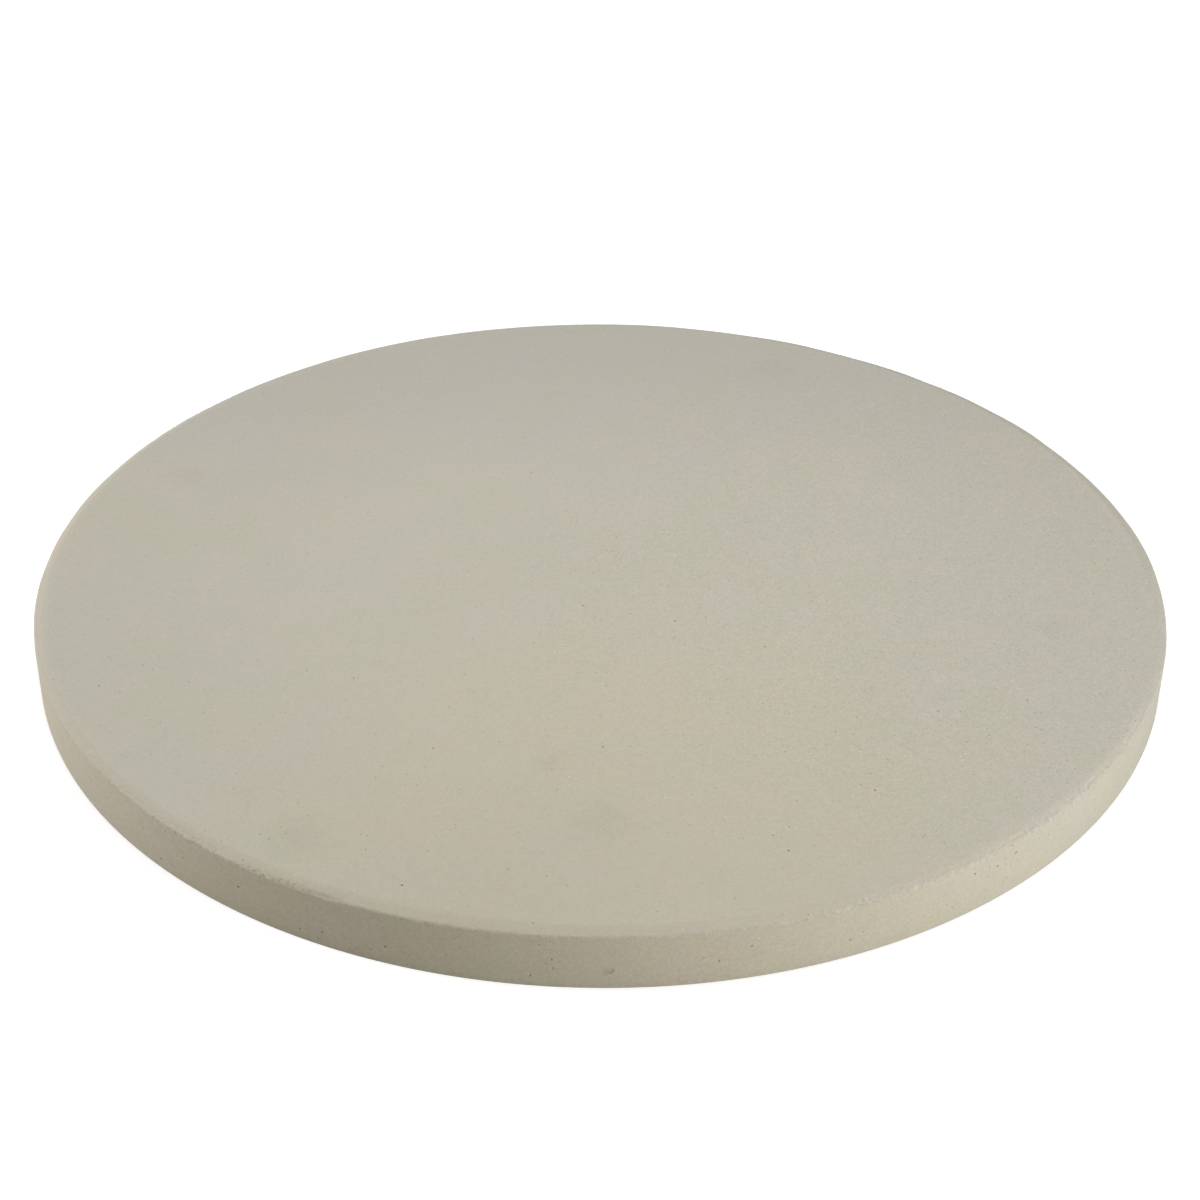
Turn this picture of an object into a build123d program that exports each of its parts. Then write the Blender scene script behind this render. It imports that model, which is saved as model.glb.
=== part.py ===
from build123d import *
import os

# Pizza stone: one round slab of pressed and fired cordierite, in millimetres.
# +Z is up. The origin is the centre of the underside, which rests on a grill or an oven rack.

# Slab
stone_diameter = 380.0
stone_thickness = 20.0

# Shoulder: the shallow slope round the baking face, from its border out and down to the side wall
shoulder_width = 3.6
shoulder_drop = 1.3

# Crest: the round between the shoulder and the side wall
crest_radius = 1.5

# Foot: the small round between the side wall and the underside
foot_radius = 0.8

# Places worked out from the sizes above
stone_radius = stone_diameter / 2
baking_face_radius = stone_radius - shoulder_width
side_wall_height = stone_thickness - shoulder_drop


# Baking stone: its half section is turned once round the Z axis
with BuildPart() as baking_stone:
    with BuildSketch(Plane.XZ) as half_section:
        with BuildLine():
            Polyline(
                (0, 0),
                (stone_radius, 0),
                (stone_radius, side_wall_height),
                (baking_face_radius, stone_thickness),
                (0, stone_thickness),
                close=True,
            )
        make_face()
        crest_corner = half_section.vertices().group_by(Axis.X)[-1].sort_by(Axis.Y)[-1]
        fillet(crest_corner, radius=crest_radius)
        foot_corner = half_section.vertices().group_by(Axis.X)[-1].sort_by(Axis.Y)[0]
        fillet(foot_corner, radius=foot_radius)
    revolve(axis=Axis.Z)

baking_stone.part.label = "baking_stone"

os.makedirs("parts", exist_ok=True)
export_step(baking_stone.part, "parts/baking_stone.step")
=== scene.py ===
import math
import random

import bmesh
import bpy
from mathutils import Euler, Matrix, Vector, noise


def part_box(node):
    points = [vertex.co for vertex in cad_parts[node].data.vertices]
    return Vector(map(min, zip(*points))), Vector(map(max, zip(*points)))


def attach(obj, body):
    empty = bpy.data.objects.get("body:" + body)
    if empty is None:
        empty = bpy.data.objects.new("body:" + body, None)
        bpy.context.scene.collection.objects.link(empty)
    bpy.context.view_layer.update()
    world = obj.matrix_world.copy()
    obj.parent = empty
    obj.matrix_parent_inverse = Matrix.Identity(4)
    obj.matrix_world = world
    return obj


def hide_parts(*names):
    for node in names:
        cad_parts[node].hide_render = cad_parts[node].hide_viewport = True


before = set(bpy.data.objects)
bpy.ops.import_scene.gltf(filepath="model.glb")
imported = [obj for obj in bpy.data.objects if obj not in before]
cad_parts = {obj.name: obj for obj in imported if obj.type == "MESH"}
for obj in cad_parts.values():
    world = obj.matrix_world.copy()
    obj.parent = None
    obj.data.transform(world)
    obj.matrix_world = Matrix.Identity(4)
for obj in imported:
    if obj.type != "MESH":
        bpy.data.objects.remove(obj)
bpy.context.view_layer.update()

# Pizza stone: one slab of fired cordierite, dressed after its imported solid, on a pale floor

# Lengths are in metres, and MM is one millimetre
MM = 0.001

# The slab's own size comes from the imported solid
LOW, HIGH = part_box("baking_stone")
STONE_RADIUS = min(HIGH.x, HIGH.y, -LOW.x, -LOW.y)
STONE_THICKNESS = HIGH.z

# Rim section: the sloped shoulder, the crest between shoulder and side wall, the foot, and the
# round at the baking face's border
SHOULDER_WIDTH = 3.6 * MM
SHOULDER_DROP = 1.3 * MM
CREST_HEIGHT = STONE_THICKNESS - SHOULDER_DROP
CREST_RADIUS = 0.9 * MM
FOOT_RADIUS = 0.8 * MM
BORDER_RADIUS = 5.0 * MM

# How far below the crest's line the side wall's finish takes over from the shoulder's
FINISH_DROP = 0.2 * CREST_RADIUS

# Mesh density: the crest zone, on both sides of the crest, is finer than the rest. The rim's mesh
# runs a margin into the flat faces, and a gap lies between it and their grid of cells.
FACE_MARGIN = 1.5 * MM
RIM_STEPS = 800
CREST_CUTS = 3
CREST_ZONE = 2.4 * MM
CREST_ROW = 0.36 * MM
RIM_ROW = 1.3 * MM
CREST_SEGMENTS = 4
FOOT_SEGMENTS = 3
BORDER_SEGMENTS = 3
FACE_CELL = 4.0 * MM
FACE_GAP = 1.0 * MM

# Places less than this apart count as one
NEAR = 0.01 * MM

# Pits: how many and from which seed, how wide their mouths are and what share has each width
BAKING_FACE_PITS = 300
BAKING_FACE_SEED = 11
UNDERSIDE_PITS = 150
UNDERSIDE_SEED = 12
SIDE_WALL_PITS = 110
SIDE_WALL_SEED = 54
PIT_WIDTHS = (0.36 * MM, 0.46 * MM, 0.58 * MM, 0.74 * MM)
PIT_SHARES = (0.42, 0.34, 0.19, 0.05)

# Pits: the mouth's sides and what is cut off a square's corner for them, the depth and the funnel's
# wall as shares of the width, and the share of cells that may hold one where no sand shows
PIT_SIDES = 8
PIT_CORNER_CUT = 1 / (2 + math.sqrt(2))
PIT_DEPTH_SHARE = 0.6
PIT_FUNNEL_SHARE = 0.3
LEAST_PITTED = 0.3

# Pits: the least breadth of a side wall's cell that may hold one, which leaves out the finer cells
COARSE_CELL = 1.0 * MM

# Pits: how far a mouth may lie off its cell's middle, as a share of what its width leaves free. The
# width of a large one counts for more there.
PIT_ROOM = 0.3
LARGE_PIT_ROOM = 0.5
LARGE_PIT_SPREAD = 1.5

# The largest pits: those of the baking face by their places across and along it in millimetres,
# and those of the side wall by azimuth in degrees and height in millimetres
LARGE_FACE_PIT_WIDTH = 0.80 * MM
LARGE_FACE_PITS = ((81.5, -125.1), (-54.8, -170.0), (105.1, -84.8), (24.6, -35.0), (1.1, -104.3))
LARGE_WALL_PIT_WIDTH = 0.66 * MM
LARGE_WALL_PITS = (
    (-122.7, 10.0),
    (-116.4, 4.0),
    (-114.2, 5.8),
    (-108.0, 6.5),
    (-95.8, 4.0),
    (-93.9, 10.0),
    (-80.1, 8.3),
)

# Crumbled crest: how near the crest's line it is at its full depth, which fades towards the border
# of the crest zone, how deep and how large its crumbs and sand grains are, and the stretches that
# crumbled most, each the azimuth of its middle and its half length in degrees
CREST_CORE = 0.35 * CREST_ZONE
CRUMB_DEPTH = 0.17 * MM
CRUMB_SIZE = 0.9 * MM
SAND_DEPTH = 0.12 * MM
SAND_SIZE = 0.75 * MM
LEAST_CRUMBLED = 0.20
CRUMBLED_STRETCHES = ((-128, 22), (-52, 30), (52, 12), (148, 16))
STRETCH_CORE = 0.5

# The levels of noise between which crumbs, sand grains and the crest's wave rise
CRUMB_LEVELS = (0.54, 0.64)
SAND_LEVELS = (0.25, 0.75)
CREST_WAVE_LEVELS = (0.35, 0.75)

# Worn crest: how wide a leg of its corner is rubbed off, and where, given as above
WORN_LEG = 0.72 * MM
WORN_STRETCHES = ((-117, 7), (20, 14), (96, 10))

# Slow waves of the crest's line and of the side wall, and how far from the crest and from the foot
# the wall's waves are at their full depth
CREST_WAVE_DEPTH = 0.16 * MM
CREST_WAVE_SIZE = 22.0 * MM
WALL_WAVE_DEPTH = 0.06 * MM
WALL_WAVE_SIZE = 14.0 * MM
CALM_BELOW_CREST = 2 * CREST_ZONE
CALM_ABOVE_FOOT = 2 * FOOT_RADIUS

# Shallow oval mark on the side wall, in front and a little to the right
MARK_ACROSS = 2.5 * MM
MARK_HEIGHT = 6.5 * MM
MARK_HALF_WIDTH = 2.2 * MM
MARK_HALF_HEIGHT = 1.1 * MM
MARK_TILT = math.radians(14)
MARK_DEPTH = 0.20 * MM
MARK_EDGE = 0.35
MARK_CUTS = 4

# The mark's stain: three patches along it, their places and size in half widths, and their strength
MARK_PATCHES = (-0.45, 0.0, 0.45)
MARK_PATCH_SIZE = 0.78 * MARK_HALF_WIDTH
MARK_STRENGTH = 0.34

# Kiln drift and painted light: where on the slab most sand shows, where painted warm light falls
# at the near front, how far out the painted pool of light in the middle reaches, and how far back
# the painted cool shade sets in
SANDY_PLACE = (140.0 * MM, -10.0 * MM, 0.5 * STONE_THICKNESS)
SANDY_CORE = 90.0 * MM
SANDY_REACH = 210.0 * MM
WARM_LIGHT_PLACE = (15.0 * MM, -140.0 * MM, 0.5 * STONE_THICKNESS)
WARM_LIGHT_CORE = 50.0 * MM
WARM_LIGHT_REACH = 165.0 * MM
LIT_MIDDLE_CORE = 60.0 * MM
LIT_MIDDLE_REACH = 190.0 * MM
COOL_SHADE_WAY = (-0.1, 1.0, 0.0)
COOL_SHADE_FROM = 40.0 * MM
COOL_SHADE_TO = 160.0 * MM
DRIFT_PATCH = 60.0 * MM
DRIFT_WANDER = 80.0 * MM

# Grain: how much larger the grog is than the sand, and how much of the tone is the sand's
GROG_TO_SAND = 2.8
SAND_WEIGHT = 0.8

# Specks: spacing and size, how strong they show, how far they sink or rise, and what share of them
# shows where no sand does. The pores' dark colour is painted shade in them. The grog's pattern is
# moved off the pores' pattern.
PORE_SPACING = 1.8 * MM
PORE_SIZE = 0.8 * MM
PORE_SHADE_STRENGTH = 0.50
PORE_DEPTH = 0.05 * MM
LEAST_PORES = 0.35
GROG_SPACING = 1.9 * MM
GROG_SIZE = 0.9 * MM
GROG_STRENGTH = 0.65
GROG_RISE = 0.01 * MM
LEAST_GROG = 0.1
GROG_PLACE = (0.37, 0.11, 0.73)
LEAST_SPECK = 0.4
SPECK_CORE = 0.5

# Mottling: the size of its patches, how much larger the bluish and the light ones are, the strength
# of its cast and of its lightness, the noise levels of its borders, and where its second pattern lies
MOTTLE_PATCH = 24.0 * MM
ASH_PATCH_SHARE = 1.5
SLOW_PATCH_SHARE = 2.2
MOTTLE_CAST = 0.65
MOTTLE_LIGHTNESS = 0.012
MOTTLE_LEVELS = (0.42, 0.58)
MOTTLE_DETAIL = 6.0
MOTTLE_ROUGHNESS = 0.72
ASH_PLACE = (0.91, 0.35, 0.17)

# The rubbed edge along the crest, worn and lightened with a painted highlight, and the shoulder's
# painted shade, by their distance from the crest's line
EDGE_REACH = 1.2 * MM
EDGE_CORE = 0.2
EDGE_BREAK = 0.9 * MM
EDGE_LEVELS = (0.44, 0.62)
RUBBED_HIGHLIGHT_STRENGTH = 0.09
SHOULDER_SHADE_CORE = 3.3 * MM
SHOULDER_SHADE_REACH = 4.7 * MM

# Ragged patches: the size and the depth of their border's notches, and how small their core is
NOTCH_SIZE = 5.0 * MM
NOTCH_DEPTH = 1.2
PATCH_CORE = 0.1

# Roughness, from the darkest clay to the palest, and the weak gloss
TONE_RANGE = (0.95, 1.05)
ROUGHNESS_RANGE = (0.97, 0.89)
GLOSS = 0.3

# Camera, in the photograph's square frame
CAMERA_PLACE = Vector((-0.15 * MM, -655.5 * MM, 427.9 * MM))
CAMERA_PITCH = math.radians(90 - 32.80)
CAMERA_ROLL = math.radians(0.42)
CAMERA_LENS = 67.7
CAMERA_SENSOR = 36.0

# Floor: just below the stone, and brighter far out, where the lamps no longer reach. It lights the
# stone as a pale grey, and is seen as a glow with a veil over it that takes the stone's shadow.
FLOOR_HALF_SIZE = 4.0
FLOOR_GAP = 0.1 * MM
FLOOR_COLOUR = (0.50, 0.50, 0.50, 1)
VEIL_COLOUR = (0.40, 0.40, 0.40, 1)
FLOOR_GLOW = 0.81
FLOOR_GLOW_FROM = 0.35
FLOOR_GLOW_TO = 1.2


def new_piece(name, bm, materials):
    """Makes an object of a finished bmesh, with its place in its mesh."""
    mesh = bpy.data.meshes.new(name)
    bm.to_mesh(mesh)
    bm.free()
    piece = bpy.data.objects.new(name, mesh)
    bpy.context.scene.collection.objects.link(piece)
    for material in materials:
        mesh.materials.append(material)
    return piece


def smooth_step(low, high, value):
    """0 up to the first bound and 1 past the second, whichever is higher, and smooth between."""
    share = min(max((value - low) / (high - low), 0.0), 1.0)
    return share * share * (3 - 2 * share)


def once_each(things):
    """A list with the repeats left out and the order kept, which a set doesn't keep."""
    return list(dict.fromkeys(things))


# Shape of the stone


def round_corner(bm, corner, radius, turn, segments):
    """Rounds one corner of the rim's section to a radius."""
    bmesh.ops.bevel(
        bm,
        geom=[corner],
        offset=radius * math.tan(turn / 2),
        offset_type="OFFSET",
        segments=segments,
        profile=0.5,
        affect="VERTICES",
        material=-1,
    )


def lay_rim_section(bm):
    """Lays the rim's half section in the XZ plane, from the baking face to the underside."""
    slope = math.atan2(SHOULDER_DROP, SHOULDER_WIDTH)
    corners = [
        (STONE_RADIUS - SHOULDER_WIDTH - FACE_MARGIN, STONE_THICKNESS),
        (STONE_RADIUS - SHOULDER_WIDTH, STONE_THICKNESS),
        (STONE_RADIUS - CREST_ZONE, CREST_HEIGHT + CREST_ZONE * math.tan(slope)),
        (STONE_RADIUS, CREST_HEIGHT),
        (STONE_RADIUS, CREST_HEIGHT - CREST_ZONE),
        (STONE_RADIUS, 0.0),
        (STONE_RADIUS - FACE_MARGIN, 0.0),
    ]
    points = [bm.verts.new((radius, 0.0, height)) for radius, height in corners]
    for start, end in zip(points, points[1:]):
        bm.edges.new((start, end))
    _, border, _, crest, _, foot, _ = points
    round_corner(bm, border, BORDER_RADIUS, slope, BORDER_SEGMENTS)
    round_corner(bm, crest, CREST_RADIUS, math.pi / 2 - slope, CREST_SEGMENTS)
    round_corner(bm, foot, FOOT_RADIUS, math.pi / 2, FOOT_SEGMENTS)
    for edge in list(bm.edges):
        fine = all(in_crest_zone(v.co) for v in edge.verts)
        cuts = math.ceil(edge.calc_length() / (CREST_ROW if fine else RIM_ROW)) - 1
        if cuts > 0:
            bmesh.ops.subdivide_edges(bm, edges=[edge], cuts=cuts)


def in_crest_zone(place):
    across = STONE_RADIUS - place.xy.length
    down = CREST_HEIGHT - place.z
    return across < CREST_ZONE + NEAR and down < CREST_ZONE + NEAR


def spin_rim(bm):
    """Turns the section once round, then divides the rings of the crest zone more finely."""
    lay_rim_section(bm)
    bmesh.ops.spin(
        bm,
        geom=bm.verts[:] + bm.edges[:],
        cent=(0, 0, 0),
        axis=(0, 0, 1),
        angle=2 * math.pi,
        steps=RIM_STEPS,
        use_merge=True,
    )
    bmesh.ops.remove_doubles(bm, verts=bm.verts, dist=NEAR)
    ring_edges = []
    for edge in bm.edges:
        start, end = (v.co for v in edge.verts)
        level = abs(start.z - end.z) < NEAR and abs(start.xy.length - end.xy.length) < NEAR
        if level and in_crest_zone(start):
            ring_edges.append(edge)
    bmesh.ops.subdivide_edges(bm, edges=ring_edges, cuts=CREST_CUTS, use_grid_fill=True)


def close_face(bm, height):
    """Closes the baking face or the underside with a grid of cells, and returns the cells."""
    cells_across = 2 * round(STONE_RADIUS / FACE_CELL)
    grid = bmesh.ops.create_grid(
        bm,
        x_segments=cells_across,
        y_segments=cells_across,
        size=FACE_CELL * cells_across / 2,
        matrix=Matrix.Translation((0, 0, height)),
    )
    limit = STONE_RADIUS - SHOULDER_WIDTH - FACE_MARGIN - FACE_GAP
    cells = once_each(face for corner in grid["verts"] for face in corner.link_faces)
    outside = [face for face in cells if max(v.co.xy.length for v in face.verts) > limit]
    bmesh.ops.delete(bm, geom=outside, context="FACES")
    cells = [face for face in cells if face.is_valid]
    at_height = [edge for edge in bm.edges if all(abs(v.co.z - height) < NEAR for v in edge.verts)]
    open_edges = [edge for edge in at_height if edge.is_boundary]
    bmesh.ops.triangle_fill(bm, use_beauty=True, use_dissolve=False, edges=open_edges)
    return cells


def scatter_pits(cells, count, seed):
    """Picks cells by chance, more of them where more sand shows.

    Each pit is a cell, the width of its mouth and the mouth's place off the cell's middle.
    """
    chance = random.Random(seed)
    pits = []
    for cell in chance.sample(cells, len(cells)):
        apart = (cell.calc_center_median() - Vector(SANDY_PLACE)).length
        sandy = smooth_step(SANDY_REACH, SANDY_CORE, apart)
        if len(pits) == count or chance.random() > LEAST_PITTED + (1 - LEAST_PITTED) * sandy:
            continue
        width = chance.choices(PIT_WIDTHS, PIT_SHARES)[0]
        room = PIT_ROOM * (cell_breadth(cell) - width)
        along, across = cell_sides(cell)
        shift = along * chance.uniform(-room, room) + across * chance.uniform(-room, room)
        pits.append((cell, width, shift))
    return pits


def face_place(across, along):
    """A place on the baking face, from millimetres across and along it."""
    return Vector((across * MM, along * MM, STONE_THICKNESS))


def wall_place(azimuth, height):
    """A place on the side wall, from its azimuth in degrees and its height in metres."""
    turn = math.radians(azimuth)
    return Vector((STONE_RADIUS * math.cos(turn), STONE_RADIUS * math.sin(turn), height))


def place_large_pits(cells, places, width):
    """Takes out of the cells those that hold the largest pits, and returns the pits."""
    pits = []
    for place in places:
        cell = min(cells, key=lambda face: (face.calc_center_median() - place).length)
        cells.remove(cell)
        room = LARGE_PIT_ROOM * (cell_breadth(cell) - LARGE_PIT_SPREAD * width)
        away = place - cell.calc_center_median()
        shift = Vector()
        for side in cell_sides(cell):
            shift += side * min(max(away.dot(side), -room), room)
        pits.append((cell, width, shift))
    return pits


def cell_breadth(cell):
    return min(edge.calc_length() for edge in cell.edges)


def cell_sides(cell):
    """Two directions along a cell's sides, a level one first."""
    on_wall = abs(cell.normal.z) < abs(cell.normal.xy.length)
    up = Vector((0, 0, 1)) if on_wall else Vector((0, 1, 0))
    along = up.cross(cell.normal).normalized()
    return along, along.cross(cell.normal)


def sink_pits(bm, pits):
    """Sinks small eight-sided pits into their cells, one width after the other."""
    for width in sorted({width for _, width, _ in pits}):
        same = [(cell, shift) for cell, pit_width, shift in pits if pit_width == width]
        cells = [cell for cell, _ in same]
        known = {face for face in bm.faces if len(face.verts) == PIT_SIDES}
        margin = (cell_breadth(cells[0]) - width) / 2
        bmesh.ops.inset_individual(bm, faces=cells, thickness=margin, use_even_offset=True)
        for cell, shift in same:
            for corner in cell.verts:
                corner.co += shift
        bmesh.ops.bevel(
            bm,
            geom=once_each(corner for cell in cells for corner in cell.verts),
            offset=width * PIT_CORNER_CUT,
            offset_type="OFFSET",
            segments=1,
            profile=0.5,
            affect="VERTICES",
            material=-1,
        )
        mouths = [face for face in bm.faces if len(face.verts) == PIT_SIDES and face not in known]
        for mouth in mouths:
            for edge in mouth.edges:
                edge.smooth = False
        bmesh.ops.inset_individual(
            bm,
            faces=mouths,
            thickness=width * PIT_FUNNEL_SHARE,
            depth=-width * PIT_DEPTH_SHARE,
            use_even_offset=True,
        )


def share_in_stretches(place, stretches):
    """How far a place's azimuth lies within the nearest of some stretches of the rim, from 0 to 1."""
    azimuth = math.degrees(math.atan2(place.y, place.x))
    most = 0.0
    for middle, half_length in stretches:
        away = abs((azimuth - middle + 180) % 360 - 180)
        most = max(most, smooth_step(half_length, STRETCH_CORE * half_length, away))
    return most


def noise_at(place, size):
    """Smooth noise from 0 to 1 whose features are about as large as the size."""
    return 0.5 + 0.5 * noise.noise(place / size)


def crumble_depth(place):
    """How far the crest is eaten inwards at a place: crumbs, sand grains and its line's slow wave."""
    share = max(LEAST_CRUMBLED, share_in_stretches(place, CRUMBLED_STRETCHES))
    crumb = CRUMB_DEPTH * share * smooth_step(*CRUMB_LEVELS, noise_at(place, CRUMB_SIZE))
    sand = SAND_DEPTH * share * smooth_step(*SAND_LEVELS, noise_at(place, SAND_SIZE))
    slow = noise_at(place.xy.to_3d(), CREST_WAVE_SIZE)
    wave = CREST_WAVE_DEPTH * smooth_step(*CREST_WAVE_LEVELS, slow)
    return crumb + sand + wave


def worn_depth(place, across, down):
    """How far a place stands out over the flat that wear has rubbed on the crest's corner."""
    leg = WORN_LEG * share_in_stretches(place, WORN_STRETCHES)
    return max(leg - across - down, 0.0) / math.sqrt(2)


def mark_depth(place):
    """Depth of the shallow oval mark at a place on the side wall."""
    if place.y > 0:
        return 0.0
    across = place.x - MARK_ACROSS
    up = place.z - MARK_HEIGHT
    along = (across * math.cos(MARK_TILT) + up * math.sin(MARK_TILT)) / MARK_HALF_WIDTH
    over = (up * math.cos(MARK_TILT) - across * math.sin(MARK_TILT)) / MARK_HALF_HEIGHT
    return MARK_DEPTH * smooth_step(1.0, 1.0 - MARK_EDGE, math.hypot(along, over))


def refine_mark(bm):
    """Divides the side wall's cells more finely where the oval mark goes."""
    middle = Vector((MARK_ACROSS, -math.sqrt(STONE_RADIUS**2 - MARK_ACROSS**2), MARK_HEIGHT))
    reach = MARK_HALF_WIDTH + RIM_ROW
    cells = [face for face in bm.faces if (face.calc_center_median() - middle).length < reach]
    edges = once_each(edge for cell in cells for edge in cell.edges)
    bmesh.ops.subdivide_edges(bm, edges=edges, cuts=MARK_CUTS, use_grid_fill=True)


def weather_rim(bm):
    """Moves the rim's points inwards: the crumbled crest, and the side wall's waves and mark."""
    for point in bm.verts:
        place = point.co.copy()
        across = STONE_RADIUS - place.xy.length
        down = CREST_HEIGHT - place.z
        outwards = Vector((place.x, place.y, 0)).normalized()
        if in_crest_zone(place):
            near = smooth_step(CREST_ZONE, CREST_CORE, math.hypot(across, down))
            slant = (outwards + Vector((0, 0, 1))).normalized()
            point.co -= slant * (crumble_depth(place) * near + worn_depth(place, across, down))
        if across < NEAR:
            wave = WALL_WAVE_DEPTH * noise_at(place, WALL_WAVE_SIZE)
            below = smooth_step(0.0, CALM_BELOW_CREST, down)
            above = smooth_step(0.0, CALM_ABOVE_FOOT, place.z)
            point.co -= outwards * (wave + mark_depth(place)) * (below * above)


def is_wall_cell(face):
    """True for a coarse cell of the side wall, clear of the crest zone and of the foot."""
    middle = face.calc_center_median()
    on_wall = STONE_RADIUS - middle.xy.length < NEAR
    clear = FOOT_RADIUS + RIM_ROW < middle.z < CREST_HEIGHT - CREST_ZONE - RIM_ROW
    return on_wall and clear and cell_breadth(face) > COARSE_CELL


def in_step_order(cells):
    """The side wall's cells, one step of the rim after the other, and from the lowest up in each.

    The spin leaves them in another order in each run, and the pits are picked by order.
    """

    def step_and_height(cell):
        middle = cell.calc_center_median()
        return math.floor(math.atan2(middle.y, middle.x) * RIM_STEPS / (2 * math.pi)), middle.z

    return sorted(cells, key=step_and_height)


def make_stone(materials):
    """The whole slab as one closed mesh."""
    bm = bmesh.new()
    spin_rim(bm)
    bmesh.ops.recalc_face_normals(bm, faces=bm.faces)
    refine_mark(bm)
    wall_cells = in_step_order(face for face in bm.faces if is_wall_cell(face))
    top_cells = close_face(bm, STONE_THICKNESS)
    bottom_cells = close_face(bm, 0.0)
    bmesh.ops.recalc_face_normals(bm, faces=bm.faces)
    weather_rim(bm)
    on_face = [face_place(across, along) for across, along in LARGE_FACE_PITS]
    large = place_large_pits(top_cells, on_face, LARGE_FACE_PIT_WIDTH)
    sink_pits(bm, large + scatter_pits(top_cells, BAKING_FACE_PITS, BAKING_FACE_SEED))
    sink_pits(bm, scatter_pits(bottom_cells, UNDERSIDE_PITS, UNDERSIDE_SEED))
    on_wall = [wall_place(azimuth, height * MM) for azimuth, height in LARGE_WALL_PITS]
    large = place_large_pits(wall_cells, on_wall, LARGE_WALL_PIT_WIDTH)
    sink_pits(bm, large + scatter_pits(wall_cells, SIDE_WALL_PITS, SIDE_WALL_SEED))
    for face in bm.faces:
        face.smooth = True
        face.material_index = finish_index(face)
    return new_piece("fired_stone", bm, materials)


def finish_index(face):
    """Which finish a face has: 0 on top as far as the crest, 1 on the side wall and 2 below."""
    middle = face.calc_center_median()
    on_rim = STONE_RADIUS - middle.xy.length < SHOULDER_WIDTH
    if on_rim and middle.z < CREST_HEIGHT - FINISH_DROP:
        return 1
    return 0 if middle.z > STONE_THICKNESS / 2 else 2


# Node helpers


def add(tree, kind, inputs=(), **settings):
    """Adds a shader node, with its settings, and with its inputs given as values or as links."""
    made = tree.nodes.new("ShaderNode" + kind)
    for name, value in settings.items():
        setattr(made, name, value)
    for name, value in dict(inputs).items():
        if isinstance(value, bpy.types.NodeSocket):
            tree.links.new(value, made.inputs[name])
        else:
            made.inputs[name].default_value = value
    return made


def maths(tree, operation, *values):
    return add(tree, "Math", enumerate(values), operation=operation).outputs[0]


def multiply_colours(tree, colour, cast):
    return add(tree, "VectorMath", {0: colour, 1: cast}, operation="MULTIPLY").outputs[0]


def blend_colours(tree, share, under, over):
    """Lays one colour over another by a share."""
    return add(tree, "Mix", {0: share, 6: under, 7: over}, data_type="RGBA").outputs[2]


def ramp(tree, value, low, high, out_low=0.0, out_high=1.0):
    """The smooth step as a node, from one result to another."""
    made = add(
        tree,
        "MapRange",
        {"Value": value, "From Min": low, "From Max": high, "To Min": out_low, "To Max": out_high},
        interpolation_type="SMOOTHSTEP",
    )
    return made.outputs["Result"]


def new_group(name, inputs, outputs):
    """Starts a shader node group, and returns it with its input and output nodes."""
    group = bpy.data.node_groups.new(name, "ShaderNodeTree")
    for socket, kind, value in inputs:
        made = group.interface.new_socket(socket, in_out="INPUT", socket_type="NodeSocket" + kind)
        if value is not None:
            made.default_value = value
    for socket, kind in outputs:
        group.interface.new_socket(socket, in_out="OUTPUT", socket_type="NodeSocket" + kind)
    return group, group.nodes.new("NodeGroupInput"), group.nodes.new("NodeGroupOutput")


def use_group(tree, group, inputs):
    return add(tree, "Group", inputs, node_tree=group).outputs


# Effects that the stone's materials share


def add_noise(tree, vector, size, detail, roughness=0.5):
    """Noise whose largest features are as large as the size."""
    inputs = {
        "Vector": vector,
        "Scale": maths(tree, "DIVIDE", 1.0, size),
        "Detail": detail,
        "Roughness": roughness,
    }
    return add(tree, "TexNoise", inputs).outputs["Fac"]


def make_grain_group():
    """Fired body: sand and coarser grog, as a tone about 1 and as a relief in metres."""
    group, given, result = new_group(
        "Fired grain",
        [
            ("Vector", "Vector", None),
            ("Sand Size", "Float", 0.5 * MM),
            ("Grog Size", "Float", 1.4 * MM),
            ("Contrast", "Float", 0.03),
            ("Relief", "Float", 0.004 * MM),
        ],
        [("Tone", "Float"), ("Height", "Float")],
    )
    place = given.outputs["Vector"]
    sand = add_noise(group, place, given.outputs["Sand Size"], detail=2.0, roughness=0.6)
    grog = add_noise(group, place, given.outputs["Grog Size"], detail=1.0)
    grog_share = maths(group, "MULTIPLY", grog, 1 - SAND_WEIGHT)
    mixed = maths(group, "MULTIPLY_ADD", sand, SAND_WEIGHT, grog_share)
    centred = maths(group, "MULTIPLY_ADD", mixed, 2.0, -1.0)
    tone = maths(group, "MULTIPLY_ADD", centred, given.outputs["Contrast"], 1.0)
    height = maths(group, "MULTIPLY", centred, given.outputs["Relief"])
    group.links.new(tone, result.inputs["Tone"])
    group.links.new(height, result.inputs["Height"])
    return group


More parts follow.
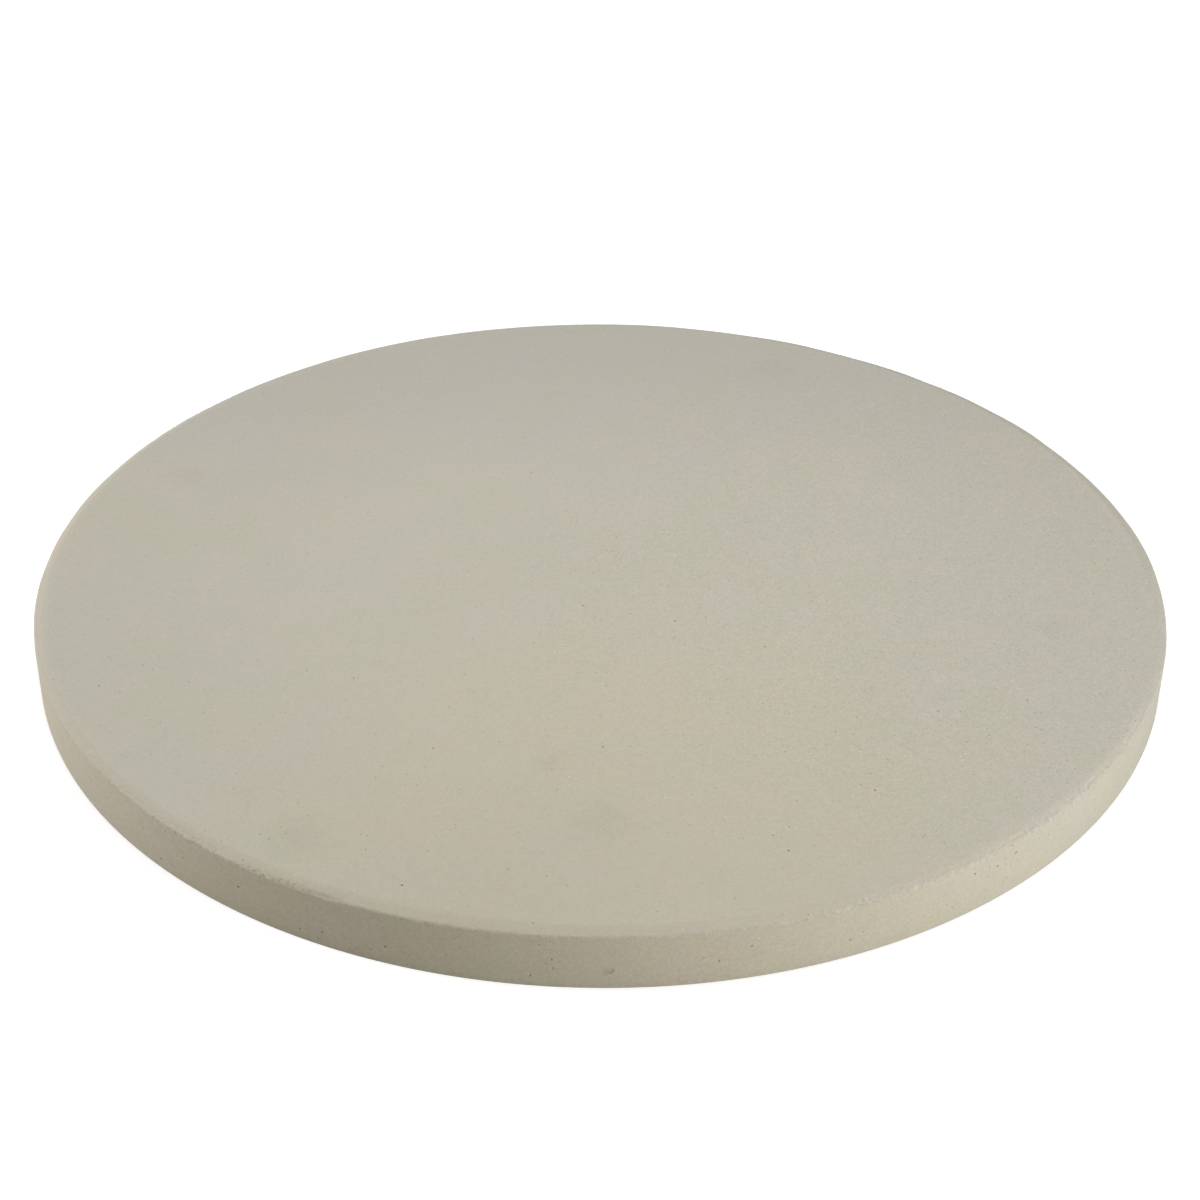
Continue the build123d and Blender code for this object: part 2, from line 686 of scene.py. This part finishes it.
def make_speck_group():
    """Scattered round specks: a mask of those cells of a chance pattern that hold one."""
    group, given, result = new_group(
        "Scattered specks",
        [
            ("Vector", "Vector", None),
            ("Spacing", "Float", 3.0 * MM),
            ("Size", "Float", 0.4 * MM),
            ("Share", "Float", 0.5),
        ],
        [("Mask", "Float")],
    )
    scale = maths(group, "DIVIDE", 1.0, given.outputs["Spacing"])
    cells = add(
        group,
        "TexVoronoi",
        {"Vector": given.outputs["Vector"], "Scale": scale, "Randomness": 1.0},
        feature="F1",
    )
    chance = add(group, "SeparateColor", {"Color": cells.outputs["Color"]}).outputs
    holds = maths(group, "LESS_THAN", chance["Red"], given.outputs["Share"])
    smaller = ramp(group, chance["Green"], 0.0, 1.0, out_low=LEAST_SPECK)
    size = maths(group, "MULTIPLY", given.outputs["Size"], smaller)
    radius = maths(group, "DIVIDE", maths(group, "MULTIPLY", size, scale), 2.0)
    edge = maths(group, "DIVIDE", cells.outputs["Distance"], radius)
    speck = ramp(group, edge, 1.0, SPECK_CORE)
    group.links.new(maths(group, "MULTIPLY", speck, holds), result.inputs["Mask"])
    return group


def make_mottle_group():
    """Kiln mottling: patchy drifts between pinkish and greenish, bluish and tan, light and dark."""
    group, given, result = new_group(
        "Kiln mottling",
        [
            ("Vector", "Vector", None),
            ("Patch Size", "Float", 30.0 * MM),
            ("Cast", "Float", 0.5),
            ("Lightness", "Float", 0.01),
        ],
        [("Tint", "Color"), ("Tone", "Float")],
    )
    place = given.outputs["Vector"]
    patch = given.outputs["Patch Size"]
    blush = add_noise(group, place, patch, MOTTLE_DETAIL, MOTTLE_ROUGHNESS)
    blush_tint = blend_colours(group, ramp(group, blush, *MOTTLE_LEVELS), GREENISH_CAST, PINKISH_CAST)
    beyond = add(group, "Mapping", {"Vector": place, "Location": ASH_PLACE}).outputs["Vector"]
    wider = maths(group, "MULTIPLY", patch, ASH_PATCH_SHARE)
    ash = add_noise(group, beyond, wider, MOTTLE_DETAIL, MOTTLE_ROUGHNESS)
    ash_tint = blend_colours(group, ramp(group, ash, *MOTTLE_LEVELS), TAN_CAST, BLUISH_CAST)
    tint = multiply_colours(group, blush_tint, ash_tint)
    weak = blend_colours(group, given.outputs["Cast"], NO_CAST, tint)
    slow = add_noise(group, place, maths(group, "MULTIPLY", patch, SLOW_PATCH_SHARE), detail=3.0)
    centred = maths(group, "MULTIPLY_ADD", slow, 2.0, -1.0)
    tone = maths(group, "MULTIPLY_ADD", centred, given.outputs["Lightness"], 1.0)
    group.links.new(weak, result.inputs["Tint"])
    group.links.new(tone, result.inputs["Tone"])
    return group


def near_place(tree, place, middle, reach, core, wander):
    """1 within the core of a middle and 0 beyond the reach, with a wandering border."""
    apart = add(tree, "VectorMath", {0: place, 1: middle}, operation="DISTANCE").outputs["Value"]
    return ramp(tree, maths(tree, "ADD", apart, wander), reach, core)


def make_drift_and_light_group():
    """How sandy the clay fired at a place, and the painted light there: warm light at the near front,
    a paler pool of light in the middle, and cool, dim shade toward the back.
    """
    group, given, result = new_group(
        "Kiln drift and painted light",
        [("Vector", "Vector", None)],
        [("Sandiness", "Float"), ("Warm Light", "Float"), ("Lit Middle", "Float"), ("Cool Shade", "Float")],
    )
    place = given.outputs["Vector"]
    patchy = add_noise(group, place, DRIFT_PATCH, detail=5.0, roughness=0.65)
    wander = maths(group, "MULTIPLY_ADD", patchy, DRIFT_WANDER, -0.5 * DRIFT_WANDER)
    middle = (0, 0, 0.5 * STONE_THICKNESS)
    sandy = near_place(group, place, SANDY_PLACE, SANDY_REACH, SANDY_CORE, wander)
    warm_light = near_place(group, place, WARM_LIGHT_PLACE, WARM_LIGHT_REACH, WARM_LIGHT_CORE, wander)
    pale = near_place(group, place, middle, LIT_MIDDLE_REACH, LIT_MIDDLE_CORE, wander)
    along = add(group, "VectorMath", {0: place, 1: COOL_SHADE_WAY}, operation="DOT_PRODUCT").outputs["Value"]
    cool_shade = ramp(group, maths(group, "ADD", along, wander), COOL_SHADE_FROM, COOL_SHADE_TO)
    for socket, value in (("Sandiness", sandy), ("Warm Light", warm_light), ("Lit Middle", pale), ("Cool Shade", cool_shade)):
        group.links.new(value, result.inputs[socket])
    return group


def make_edge_wear_and_light_group():
    """Rubbed edge: how near a place is to the crest, whole and broken up by noise, for wear with a
    painted highlight, and the shoulder's band of painted shade.
    """
    group, given, result = new_group(
        "Rubbed edge, painted highlight and shoulder shade",
        [
            ("Vector", "Vector", None),
            ("Reach", "Float", 1.5 * MM),
            ("Break Size", "Float", 1.0 * MM),
        ],
        [("Mask", "Float"), ("Near", "Float"), ("Shoulder", "Float")],
    )
    place = given.outputs["Vector"]
    parts = add(group, "SeparateXYZ", {"Vector": place}).outputs
    squares = maths(group, "MULTIPLY_ADD", parts["X"], parts["X"], maths(group, "POWER", parts["Y"], 2.0))
    across = maths(group, "SUBTRACT", maths(group, "SQRT", squares), STONE_RADIUS)
    up = maths(group, "SUBTRACT", parts["Z"], CREST_HEIGHT)
    away = maths(group, "SQRT", maths(group, "MULTIPLY_ADD", up, up, maths(group, "POWER", across, 2.0)))
    near = ramp(group, maths(group, "DIVIDE", away, given.outputs["Reach"]), 1.0, EDGE_CORE)
    breaks = add_noise(group, place, given.outputs["Break Size"], detail=3.0)
    broken = ramp(group, breaks, *EDGE_LEVELS)
    group.links.new(maths(group, "MULTIPLY", near, broken), result.inputs["Mask"])
    group.links.new(near, result.inputs["Near"])
    group.links.new(ramp(group, away, SHOULDER_SHADE_REACH, SHOULDER_SHADE_CORE), result.inputs["Shoulder"])
    return group


def make_patch_group():
    """One patch of another colour: a stain or a chip, soft and with a ragged border."""
    group, given, result = new_group(
        "Ragged patch",
        [
            ("Vector", "Vector", None),
            ("Middle", "Vector", None),
            ("Size", "Float", 10.0 * MM),
        ],
        [("Mask", "Float")],
    )
    place = given.outputs["Vector"]
    ends = {0: place, 1: given.outputs["Middle"]}
    away = add(group, "VectorMath", ends, operation="DISTANCE").outputs["Value"]
    notches = add_noise(group, place, NOTCH_SIZE, detail=4.0)
    ragged = maths(group, "MULTIPLY_ADD", notches, -NOTCH_DEPTH, 0.5 * NOTCH_DEPTH)
    edge = maths(group, "ADD", maths(group, "DIVIDE", away, given.outputs["Size"]), ragged)
    group.links.new(ramp(group, edge, 1.0, PATCH_CORE), result.inputs["Mask"])
    return group


# Casts, by which a colour is multiplied, and how much paler the slab's middle is made. The warm
# cast is painted warm light at the near front, the cool one painted shade toward the back, the
# shoulder's cast painted shade on the slope, and the paler middle a painted pool of light
NO_CAST = (1, 1, 1, 1)
GREENISH_CAST = (0.985, 1.006, 0.996, 1)
PINKISH_CAST = (1.014, 0.993, 1.006, 1)
TAN_CAST = (1.004, 1.001, 0.975, 1)
BLUISH_CAST = (0.996, 1.0, 1.022, 1)
WARM_LIGHT_CAST = (1.025, 0.996, 0.942, 1)
COOL_SHADE_CAST = (0.956, 0.953, 0.988, 1)
SHOULDER_SHADE_CAST = (0.965, 0.942, 0.937, 1)
LIT_MIDDLE_GAIN = 0.045

GRAIN = make_grain_group()
SPECKS = make_speck_group()
MOTTLE = make_mottle_group()
DRIFT_AND_LIGHT = make_drift_and_light_group()
EDGE_WEAR_AND_LIGHT = make_edge_wear_and_light_group()
PATCH = make_patch_group()

# Linear colours of the fired body and of what lies in it. The side colour is the body's darkened and
# warmed as painted shade, the pores' dark colour is painted shade in them, and the rubbed colour is
# wear with a painted highlight
BODY_COLOUR = (0.534, 0.506, 0.419)
# Side wall and underside: the body colour darkened and warmed, as painted shade
SHADED_SIDE_COLOUR = (0.517, 0.470, 0.374)
# Pores: a dark colour as painted shade in the pits
PORE_SHADE_COLOUR = (0.20, 0.18, 0.14, 1)
GROG_COLOUR = (0.68, 0.66, 0.60, 1)
RUBBED_HIGHLIGHT_COLOUR = (0.57, 0.54, 0.49, 1)
STAIN_COLOUR = (0.42, 0.39, 0.30, 1)
CHIP_COLOUR = (0.64, 0.625, 0.58, 1)
MARK_COLOUR = (0.38, 0.32, 0.25, 1)

# Faint stains on the baking face: the middle's place across and along, the size and the strength
FACE_STAINS = (
    (-150.9, 59.4, 13.0, 0.22),
    (67.9, 147.7, 14.0, 0.22),
    (149.3, -36.9, 9.0, 0.22),
    (-86.0, -149.0, 15.0, 0.20),
    (1.2, -140.3, 14.0, 0.22),
    (-14.5, -112.5, 8.0, 0.22),
    # The broad one along the near front edge is painted shade, darker and warmer there
    (-30.0, -185.0, 85.0, 0.13),
)

# Pale chips along the crest: the azimuth in degrees, the size and the strength
CREST_CHIPS = (
    (-74.4, 1.0, 0.30),
    (-73.0, 0.9, 0.25),
    (-69.6, 0.8, 0.30),
    (-68.6, 1.3, 0.25),
    (-65.7, 1.2, 0.30),
    (-62.0, 1.4, 0.45),
    (-58.4, 1.0, 0.25),
    (-56.0, 1.2, 0.40),
    (-119.0, 1.2, 0.25),
    (-117.0, 1.0, 0.35),
)


def lay_patch(tree, place, clay, colour, middle, size, share):
    """Lays one stain or chip over the clay."""
    patch = use_group(tree, PATCH, {"Vector": place, "Middle": middle, "Size": size})
    return blend_colours(tree, maths(tree, "MULTIPLY", patch["Mask"], share), clay, colour)


def make_cordierite(name, body, sand, contrast, rise, relief, pores, grog, shoulder=0.0, patches=()):
    """Matt fired cordierite. Its faces differ in tone, in grain, and in how many specks show.

    Sand is the size of the grain, contrast and relief are its strength, and rise is what it gains in
    strength where most sand shows. Pores and grog are the shares of the specks' cells that hold one
    there, and the pores are darkened with painted shade. Shoulder is the strength of the shoulder's
    cast, which is painted shade, and a patch is a colour, its middle, its size and its strength.
    """
    material = bpy.data.materials.new(name)
    material.use_nodes = True
    tree = material.node_tree
    shader = tree.nodes["Principled BSDF"]
    place = add(tree, "TexCoord").outputs["Object"]

    # Grain and mottling, stronger where more sand shows and at the crest
    drift_and_light = use_group(tree, DRIFT_AND_LIGHT, {"Vector": place})
    edge = use_group(tree, EDGE_WEAR_AND_LIGHT, {"Vector": place, "Reach": EDGE_REACH, "Break Size": EDGE_BREAK})
    sandy = maths(tree, "ADD", maths(tree, "MULTIPLY_ADD", drift_and_light["Sandiness"], rise, 1.0), edge["Near"])
    grain = use_group(
        tree,
        GRAIN,
        {
            "Vector": place,
            "Sand Size": sand,
            "Grog Size": sand * GROG_TO_SAND,
            "Contrast": maths(tree, "MULTIPLY", sandy, contrast),
            "Relief": maths(tree, "MULTIPLY", sandy, relief),
        },
    )
    mottle = use_group(
        tree,
        MOTTLE,
        {
            "Vector": place,
            "Patch Size": MOTTLE_PATCH,
            "Cast": MOTTLE_CAST,
            "Lightness": MOTTLE_LIGHTNESS,
        },
    )
    tone = maths(tree, "MULTIPLY", grain["Tone"], mottle["Tone"])
    # Painted light: the slab's middle is made paler, as a pool of light
    paler = maths(tree, "MULTIPLY_ADD", drift_and_light["Lit Middle"], LIT_MIDDLE_GAIN, 1.0)
    tone = maths(tree, "MULTIPLY", tone, paler)

    # Pores darkened with painted shade, and pale grog
    pitted = maths(tree, "MULTIPLY_ADD", drift_and_light["Sandiness"], 1 - LEAST_PORES, LEAST_PORES)
    holes = maths(tree, "MULTIPLY", pitted, pores)
    pore = use_group(
        tree, SPECKS, {"Vector": place, "Spacing": PORE_SPACING, "Size": PORE_SIZE, "Share": holes}
    )
    moved = add(tree, "Mapping", {"Vector": place, "Location": GROG_PLACE}).outputs["Vector"]
    bared = maths(tree, "MULTIPLY_ADD", drift_and_light["Sandiness"], 1 - LEAST_GROG, LEAST_GROG)
    shown = maths(tree, "MULTIPLY", bared, grog)
    pale = use_group(
        tree, SPECKS, {"Vector": moved, "Spacing": GROG_SPACING, "Size": GROG_SIZE, "Share": shown}
    )

    # Colour, with painted light and shade: cool shade toward the back, warm light at the near front,
    # and shade on the shoulder
    cast = blend_colours(tree, drift_and_light["Cool Shade"], NO_CAST, COOL_SHADE_CAST)
    cast = blend_colours(tree, drift_and_light["Warm Light"], cast, WARM_LIGHT_CAST)
    # Painted shade: the sloped shoulder is darkened by its cast
    sloped = maths(tree, "MULTIPLY", edge["Shoulder"], shoulder)
    clay = multiply_colours(tree, body, cast)
    clay = multiply_colours(tree, clay, blend_colours(tree, sloped, NO_CAST, SHOULDER_SHADE_CAST))
    clay = multiply_colours(tree, clay, mottle["Tint"])
    for colour, middle, size, share in patches:
        clay = lay_patch(tree, place, clay, colour, middle, size, share)
    clay = add(tree, "VectorMath", {0: clay, "Scale": tone}, operation="SCALE").outputs[0]
    # Lightened along the crest for wear with a painted highlight, lightened by grog, and darkened in the
    # pores with painted shade
    for mask, strength, colour in (
        (edge["Mask"], RUBBED_HIGHLIGHT_STRENGTH, RUBBED_HIGHLIGHT_COLOUR),
        (pale["Mask"], GROG_STRENGTH, GROG_COLOUR),
        (pore["Mask"], PORE_SHADE_STRENGTH, PORE_SHADE_COLOUR),
    ):
        clay = blend_colours(tree, maths(tree, "MULTIPLY", mask, strength), clay, colour)
    tree.links.new(clay, shader.inputs["Base Color"])

    # Matt surface and relief
    roughness = ramp(tree, tone, *TONE_RANGE, *ROUGHNESS_RANGE)
    tree.links.new(roughness, shader.inputs["Roughness"])
    shader.inputs["Specular IOR Level"].default_value = GLOSS
    sunk = maths(tree, "MULTIPLY_ADD", pore["Mask"], -PORE_DEPTH, grain["Height"])
    raised = maths(tree, "MULTIPLY_ADD", pale["Mask"], GROG_RISE, sunk)
    bump = add(tree, "Bump", {"Height": raised, "Distance": 1.0, "Strength": 1.0}).outputs["Normal"]
    tree.links.new(bump, shader.inputs["Normal"])
    return material


def mark_place(way):
    """A place along the oval mark, by its way from the middle in half widths."""
    across = MARK_ACROSS + way * math.cos(MARK_TILT) * MARK_HALF_WIDTH
    return Vector((across, -STONE_RADIUS, MARK_HEIGHT + way * math.sin(MARK_TILT) * MARK_HALF_WIDTH))


face_stains = [
    (STAIN_COLOUR, face_place(across, along), size * MM, share)
    for across, along, size, share in FACE_STAINS
]
mark_stains = [(MARK_COLOUR, mark_place(way), MARK_PATCH_SIZE, MARK_STRENGTH) for way in MARK_PATCHES]
crest_chips = [
    (CHIP_COLOUR, wall_place(azimuth, CREST_HEIGHT), size * MM, share)
    for azimuth, size, share in CREST_CHIPS
]
baking_face = make_cordierite(
    "pressed baking face",
    BODY_COLOUR,
    sand=0.75 * MM,
    contrast=0.128,
    rise=0.85,
    relief=0.02 * MM,
    pores=0.34,
    grog=0.36,
    shoulder=1.0,
    patches=face_stains + crest_chips,
)
# The side wall's darker, warmer colour is painted shade
side_wall = make_cordierite(
    "sandy side wall, painted shade",
    SHADED_SIDE_COLOUR,
    sand=0.90 * MM,
    contrast=0.21,
    rise=-0.5,
    relief=0.02 * MM,
    pores=0.40,
    grog=0.15,
    patches=mark_stains + crest_chips,
)
# The underside takes the side wall's painted shade too
underside = make_cordierite(
    "kiln-set underside",
    SHADED_SIDE_COLOUR,
    sand=0.90 * MM,
    contrast=0.20,
    rise=0.0,
    relief=0.03 * MM,
    pores=0.55,
    grog=0.50,
)

stone = make_stone([baking_face, side_wall, underside])
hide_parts("baking_stone")
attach(stone, "root")


# Floor, lamps, world and camera


def seen_directly(tree):
    """1 for the rays by which something is seen, also mirrored, and 0 for those that light the stone."""
    path = add(tree, "LightPath").outputs
    mirrored = maths(tree, "MAXIMUM", path["Is Glossy Ray"], path["Is Transmission Ray"])
    return maths(tree, "MAXIMUM", path["Is Camera Ray"], mirrored)


def make_floor():
    bm = bmesh.new()
    low = Matrix.Translation((0, 0, -FLOOR_GAP))
    bmesh.ops.create_grid(bm, x_segments=2, y_segments=2, size=FLOOR_HALF_SIZE, matrix=low)
    material = bpy.data.materials.new("pale floor")
    material.use_nodes = True
    tree = material.node_tree
    tree.nodes.remove(tree.nodes["Principled BSDF"])
    output = tree.nodes["Material Output"]
    pale = add(tree, "BsdfDiffuse", {"Color": FLOOR_COLOUR}).outputs[0]
    veil = add(tree, "BsdfDiffuse", {"Color": VEIL_COLOUR}).outputs[0]
    place = add(tree, "TexCoord").outputs["Object"]
    away = add(tree, "VectorMath", {0: place}, operation="LENGTH").outputs["Value"]
    glow = ramp(tree, away, FLOOR_GLOW_FROM, FLOOR_GLOW_TO, FLOOR_GLOW, 1.0)
    white = add(tree, "Emission", {"Color": (1, 1, 1, 1), "Strength": glow}).outputs[0]
    shown = add(tree, "AddShader", {0: veil, 1: white}).outputs[0]
    mixed = add(tree, "MixShader", {0: seen_directly(tree), 1: pale, 2: shown}).outputs[0]
    tree.links.new(mixed, output.inputs["Surface"])
    floor = new_piece("floor", bm, [material])


def add_lamp(name, azimuth, elevation, distance, size, power, colour):
    """A large square soft lamp that faces the stone. Azimuth 0 is to the right, and 90 is behind.

    The angles are in degrees, the distance and the size in metres, and the power in watts.
    """
    turn, lift = math.radians(azimuth), math.radians(elevation)
    way = Vector((math.cos(turn) * math.cos(lift), math.sin(turn) * math.cos(lift), math.sin(lift)))
    data = bpy.data.lights.new(name, "AREA")
    data.shape = "SQUARE"
    data.size = size
    data.energy = power
    data.color = colour
    lamp = bpy.data.objects.new(name, data)
    lamp.location = way * distance
    lamp.rotation_mode = "QUATERNION"
    lamp.rotation_quaternion = (-way).to_track_quat("-Z", "Y")
    bpy.context.scene.collection.objects.link(lamp)


def light_world():
    """A white sky that is only seen: the lamps alone light the stone."""
    world = bpy.data.worlds.new("studio")
    bpy.context.scene.world = world
    world.use_nodes = True
    tree = world.node_tree
    white = tree.nodes["Background"]
    white.inputs["Color"].default_value = (1, 1, 1, 1)
    tree.links.new(seen_directly(tree), white.inputs["Strength"])


def place_camera():
    data = bpy.data.cameras.new("camera")
    data.lens = CAMERA_LENS
    data.sensor_width = CAMERA_SENSOR
    camera = bpy.data.objects.new("camera", data)
    camera.location = CAMERA_PLACE
    camera.rotation_mode = "ZYX"
    camera.rotation_euler = Euler((CAMERA_PITCH, 0, CAMERA_ROLL), "ZYX")
    bpy.context.scene.collection.objects.link(camera)
    bpy.context.scene.camera = camera


make_floor()
light_world()
add_lamp(
    "right lamp",
    azimuth=-40,
    elevation=10.8,
    distance=1.0,
    size=0.5,
    power=7.75,
    colour=(0.955, 1.0, 1.04),
)
add_lamp(
    "front lamp",
    azimuth=-76,
    elevation=2,
    distance=1.0,
    size=0.5,
    power=1.08,
    colour=(1.06, 1.0, 0.93),
)
add_lamp(
    "overhead lamp",
    azimuth=-90,
    elevation=88,
    distance=1.0,
    size=0.5,
    power=2.60,
    colour=(1.0, 1.0, 1.0),
)
add_lamp(
    "left lamp",
    azimuth=176,
    elevation=13.4,
    distance=1.8,
    size=0.8,
    power=24.0,
    colour=(1.01, 1.0, 0.985),
)
add_lamp(
    "high back lamp",
    azimuth=86,
    elevation=55.5,
    distance=3.6,
    size=1.6,
    power=57.5,
    colour=(0.99, 1.0, 1.02),
)
place_camera()
bpy.context.scene.view_settings.view_transform = "Standard"
